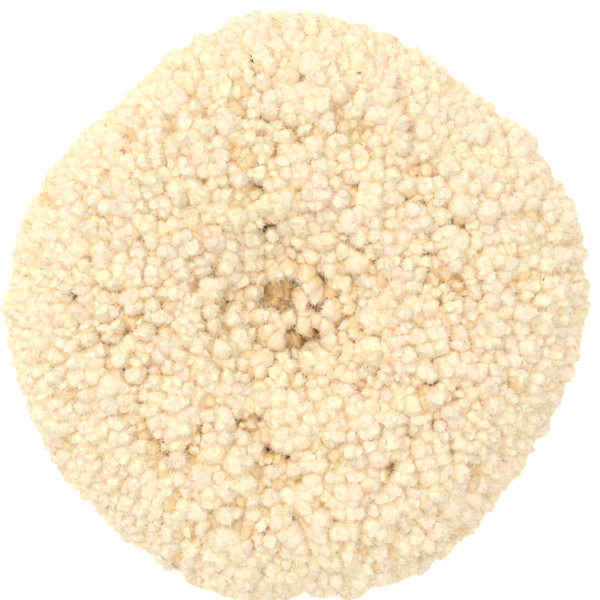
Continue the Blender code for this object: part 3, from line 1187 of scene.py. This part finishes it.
@dataclass
class Layers:
    """The canvas, the latex, the foam ring and the loop fabric, each turned about the axis."""

    form: PadForm
    steps: int = 180
    canvas_thickness: float = 0.8 * MM
    latex_thickness: float = 0.45 * MM
    latex_gap: float = 0.35 * MM
    ridge: float = 0.05 * MM
    ridge_pitch: tuple[float, float] = (5 * MM, 4 * MM)
    foam_gap: float = 1.1 * MM
    loop_edge: float = 0.35 * MM
    nap_depth: float = 0.55 * MM
    nap_density: float = 0.16
    nap_margins: tuple[float, float] = (1 * MM, 3.2 * MM)
    nap_thread: float = 0.07 * MM

    def sheet_outline(self, line: np.ndarray, thickness: float) -> Line:
        """Closes the section of a thin layer whose top follows a line.

        Args:
            line: Radius and height points of the top.
            thickness: The layer's thickness.

        Returns:
            The section's outline.
        """
        return [tuple(p) for p in (*line, *(line - [0, thickness])[::-1])]

    def canvas(self, finish: Material) -> None:
        """Makes the tufting canvas, a stretched disc of cloth that arches over the foam.

        Args:
            finish: Its material.
        """
        line = self.form.canvas_line()
        piece = turned("canvas_sheet", self.sheet_outline(line, self.canvas_thickness), self.steps)
        finish_piece(piece, ["tufting_canvas"], finish)

    def latex(self, finish: Material) -> None:
        """Makes the latex coat under the canvas's arch, with a low ridge over each back-stitch.

        Args:
            finish: Its material.
        """
        arch = self.form.canvas_line()[3:-3] - [0, self.canvas_thickness + self.latex_gap]
        piece = turned("latex_film", self.sheet_outline(arch, self.latex_thickness), self.steps)
        along, across = (2 * math.pi / pitch for pitch in self.ridge_pitch)
        for vertex in piece.data.vertices:
            vertex.co.z += self.ridge * math.cos(across * vertex.co.y) * math.cos(along * vertex.co.x)
        finish_piece(piece, ["latex_coat"], finish)

    def foam(self, finish: Material) -> None:
        """Makes the foam ring, rounded where the canvas bends over it.

        Args:
            finish: Its material.
        """
        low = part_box("foam_core")[0].z
        top = self.form.canvas_line()[1:-1] - [0, self.canvas_thickness + self.foam_gap]
        top = top[top[:, 1] > low + 0.6 * MM]
        feet = [(top[-1][0], low), (0.5 * (top[0][0] + top[-1][0]), low), (top[0][0], low)]
        piece = turned("foam_ring", [tuple(p) for p in top] + feet, self.steps)
        rounding = piece.modifiers.new("Rounding", "SUBSURF")
        rounding.levels = rounding.render_levels = 1
        settle(piece)
        finish_piece(piece, ["foam_core"], finish)

    def loop_fabric(self, finish: Material) -> None:
        """Makes the loop fabric's ground and the nap of loops that stands on its back face.

        Args:
            finish: Its material.
        """
        low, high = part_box("loop_backing")
        inner, outer, edge = self.form.hole, self.form.backing, self.loop_edge
        base, top = low.z + self.nap_depth, high.z
        outline = [
            (inner, base + edge), (inner, top - edge), (inner + edge, top), (outer - edge, top),
            (outer, top - edge), (outer, base + edge), (outer - edge, base),
            (0.5 * (inner + outer), base), (inner + edge, base),
        ]
        ground = turned("loop_fabric", outline, self.steps)
        finish_piece(ground, ["loop_backing"], finish)
        self.nap(base, finish)

    def nap(self, base: float, finish: Material) -> Object:
        """Makes the nap: loops scattered over a flat ring.

        Args:
            base: The height of the ground's back face.
            finish: The fabric's material.

        Returns:
            The nap's loops, as one piece.
        """
        turns = np.linspace(0, 2 * math.pi, self.steps, endpoint=False)
        edges = (self.form.hole + self.nap_margins[0], self.form.backing - self.nap_margins[1])
        points = [(r * math.cos(a), r * math.sin(a), base) for a in turns for r in edges]
        after = [(s + 1) % self.steps for s in range(self.steps)]
        mesh = bpy.data.meshes.new("loop_nap_field")
        mesh.from_pydata(points, [], [(2 * s, 2 * t, 2 * t + 1, 2 * s + 1) for s, t in enumerate(after)])
        inputs = {"Density": 0.0, "Loop Radius": self.nap_depth / 2, "Seed": SEED}
        tree, add, given = new_tree("nap_loops", inputs)
        over = {"Mesh": given["Geometry"], "Density": given["Density"], "Seed": given["Seed"]}
        spots = add("GeometryNodeDistributePointsOnFaces", over)
        bend = {"Resolution": 6, "Start Angle": math.radians(-30), "Sweep Angle": math.radians(240)}
        arc = add("GeometryNodeCurveArc", bend | {"Radius": given["Loop Radius"]})
        thread = add("GeometryNodeCurvePrimitiveCircle", {"Resolution": 3, "Radius": self.nap_thread})
        loop = add("GeometryNodeCurveToMesh", {"Fill Caps": True, "Curve": arc, "Profile Curve": thread})
        stood = {"Rotation": (math.radians(-90), 0, 0), "Translation": (0, 0, -0.2 * MM), "Geometry": loop}
        leaning = {"data_type": "FLOAT_VECTOR", 0: (-0.5, -0.5, -3.1), 1: (0.5, 0.5, 3.1)}
        leaning["Seed"] = given["Seed"]
        turn = add("FunctionNodeEulerToRotation", {"Euler": add("FunctionNodeRandomValue", leaning)})
        copies = {"Points": spots, "Instance": add("GeometryNodeTransform", stood), "Rotation": turn}
        end_tree(add, add("GeometryNodeInstanceOnPoints", copies), given)
        piece = grow(place("loop_nap", mesh), tree, {"Density": self.nap_density / MM**2, "Material": finish})
        return finish_piece(piece)


# ---------------- seams


class StitchKind(Enum):
    """The thread that a stitch is of, as the CAD nodes' names give it."""

    NEEDLE = "needle"
    BOBBIN = "bobbin"


@dataclass
class Stitching:
    """The lockstitch seams and the overlock, as separate stitches round their circles."""

    dash: float = 3.2 * MM
    dash_gap: float = 0.4 * MM
    needle_bulge: float = 0.12 * MM
    thread: float = 0.3 * MM
    wrap_pitch: float = 1.4 * MM
    wrap_slant: float = 0.7 * MM
    wrap_reach: float = 3.0 * MM
    wrap_points: int = 13

    def round_circle(self) -> NodeTree:
        """Builds the tree that sets stitches round a circle.

        Returns:
            A tree that takes one stitch's line and sets copies of its thread round the Z axis.
        """
        inputs = {"Count": 12, "Radius": 0.05, "Thread Radius": self.thread}
        tree, add, given = new_tree("stitches", inputs)
        curve = add("GeometryNodeMeshToCurve", {"Mesh": given["Geometry"]})
        ring = {"Resolution": 6, "Radius": given["Thread Radius"]}
        section = add("GeometryNodeCurvePrimitiveCircle", ring)
        thick = add("GeometryNodeInputNamedAttribute", {"Name": "thick"})
        sweep = {"Fill Caps": True, "Curve": curve, "Profile Curve": section, "Scale": thick}
        stitch = add("GeometryNodeSetShadeSmooth", {"Geometry": add("GeometryNodeCurveToMesh", sweep)})
        ring = {"Resolution": given["Count"], "Radius": given["Radius"]}
        circle = add("GeometryNodeCurvePrimitiveCircle", ring)
        spots = add("GeometryNodeCurveToPoints", {"mode": "EVALUATED", "Curve": circle}).outputs
        along = {"axis": "Y", "pivot_axis": "Z", "Vector": spots["Tangent"]}
        facing = add("FunctionNodeAlignRotationToVector", along)
        copies = {"Points": spots["Points"], "Instance": stitch, "Rotation": facing}
        end_tree(add, add("GeometryNodeInstanceOnPoints", copies), given)
        return tree

    def sew(
        self, node: str, name: str, points: Sequence[Sequence[float]], thick: Sequence[float],
        values: Mapping[str, Any],
    ) -> None:
        """Sets one stitch round a circle as a piece.

        Args:
            node: The CAD node that the piece stands for.
            name: The piece's name.
            points: The stitch's line, with X away from the axis and Y along the seam.
            thick: The thread's thickness at each point.
            values: The tree's inputs.
        """
        mesh = bpy.data.meshes.new(name)
        mesh.from_pydata(points, [(i, i + 1) for i in range(len(points) - 1)], [])
        mesh.attributes.new("thick", "FLOAT", "POINT").data.foreach_set("value", np.array(thick, np.float32))
        piece = grow(place(name, mesh), self.round_circle(), values)
        finish_piece(piece, [node])

    def seams(self, nodes: Iterable[str], finish: Material) -> None:
        """Makes both threads of the rim's and the hole's lockstitch.

        Args:
            nodes: The names of the CAD nodes.
            finish: The thread's material.
        """
        places = (-1.0, -0.8, -0.4, 0.0, 0.4, 0.8, 1.0)
        thick = [math.sqrt(max(0.06, 1 - s**4)) for s in places]
        for node in sorted(n for n in nodes if "_seam_" in n):
            low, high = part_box(node)
            radius, height = high.x - self.thread, (low.z + high.z) / 2
            bulge = self.needle_bulge if StitchKind.NEEDLE.value in node else 0.0
            points = [(0, self.dash / 2 * s, height + bulge * (1 - s * s)) for s in places]
            count = int(2 * math.pi * radius / (self.dash + self.dash_gap))
            values = {"Count": count, "Radius": radius, "Material": finish}
            self.sew(node, node.replace("thread", "stitches"), points, thick, values)

    def overlock(self, finish: Material) -> None:
        """Makes the overlock's wraps over the edge.

        Args:
            finish: The thread's material.
        """
        node = "rim_overlock_thread"
        low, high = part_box(node)
        middle, half = (low.z + high.z) / 2, (high.z - low.z) / 2 - self.thread
        points = []
        for share in np.linspace(-0.5, 0.5, self.wrap_points).tolist():
            out = max(0.0, math.cos(math.pi * share)) ** 0.45
            x = self.wrap_reach * (out - 1) - self.thread
            points.append((x, self.wrap_slant * share, middle + half * math.sin(math.pi * share)))
        values = {"Count": int(2 * math.pi * high.x / self.wrap_pitch), "Radius": high.x, "Material": finish}
        self.sew(node, "rim_overlock_stitches", points, [1.0] * self.wrap_points, values)


# ---------------- studio


@dataclass
class Studio:
    """The floor, the lights and the camera, which looks straight down on the face."""

    form: PadForm
    lens: float = 85.0
    sensor: float = 36.0
    frame_half_width: float = 97.5 * MM
    aim: tuple[float, float] = (1.6 * MM, 2.3 * MM)
    roll: float = -7.0
    table_light: float = 0.45
    tent_light: float = 0.54
    floor_half: float = 3.0

    def build(self) -> None:
        """Makes the whole studio."""
        scene = bpy.context.scene
        scene.view_settings.view_transform = "Standard"
        scene.view_settings.look = "None"
        # Pale wool passes light on many times, down between its ends.
        scene.cycles.diffuse_bounces = 12
        self.floor()
        self.sky()
        self.soft_box("top_soft_box", (0.0, 0.0, 1.3), 0.7, 8.3, "FFFDF8")
        self.soft_box("key_soft_box", (-0.5, 0.8, 0.9), 0.6, 4.8, "FFF8E8")
        self.camera()

    def floor(self) -> None:
        """Makes a plain pale floor of matt paper."""
        half = self.floor_half
        corners = [(-half, -half, 0), (half, -half, 0), (half, half, 0), (-half, half, 0)]
        mesh = bpy.data.meshes.new("floor")
        mesh.from_pydata(corners, [], [(0, 1, 2, 3)])
        floor = place("floor", mesh)
        values = {
            "Base Color": linear("F6F6F6"),
            "Roughness": 0.9,
            "Emission Color": (1, 1, 1, 1),
            "Emission Strength": self.table_light,
        }
        mesh.materials.append(plain_material("paper_matt_white", values))
        floor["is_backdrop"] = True

    def sky(self) -> None:
        """Lights everything evenly, as in a white tent."""
        world = bpy.data.worlds.new("tent")
        bpy.context.scene.world = world
        world.use_nodes = True
        background = world.node_tree.nodes["Background"]
        background.inputs["Color"].default_value = (1, 1, 1, 1)
        background.inputs["Strength"].default_value = self.tent_light

    def soft_box(
        self, name: str, spot: tuple[float, float, float], size: float, power: float, tint: str
    ) -> None:
        """Adds a square soft light that faces the pad.

        Args:
            name: The light's name.
            spot: Where it stands.
            size: The length of its side.
            power: Its power in watts.
            tint: Its colour.
        """
        light = bpy.data.lights.new(name, "AREA")
        light.size, light.energy, light.color = size, power, linear(tint)[:3]
        lamp = place(name, light)
        lamp.location = spot
        lamp.rotation_euler = (-Vector(spot)).to_track_quat("-Z", "Y").to_euler()

    def camera(self) -> None:
        """Sets the camera over the pad, at the height where the rim fills the frame."""
        data = bpy.data.cameras.new("camera")
        data.lens, data.sensor_width = self.lens, self.sensor
        data.clip_start, data.clip_end = 0.01, 20
        height = self.form.roll_height + self.frame_half_width / (data.sensor_width / 2 / self.lens)
        camera = place("camera", data)
        camera.location = (*self.aim, height)
        camera.rotation_euler = (0, 0, math.radians(self.roll))
        bpy.context.scene.camera = camera


def main() -> None:
    """Builds the pad's pieces in order and reports each."""
    logging.basicConfig(level=logging.INFO, format="%(message)s")
    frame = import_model()
    form = PadForm.read(frame["nodes"])
    Studio(form).build()
    WoolPile(form).build(frame["nodes"], WOOL.material())
    layers = Layers(form)
    layers.foam(FOAM.material())
    layers.canvas(CANVAS.material())
    layers.latex(LATEX.material())
    layers.loop_fabric(LOOP.material())
    thread = THREAD.material()
    stitching = Stitching()
    stitching.seams(frame["nodes"], thread)
    stitching.overlock(thread)


if __name__ == "__main__":
    main()
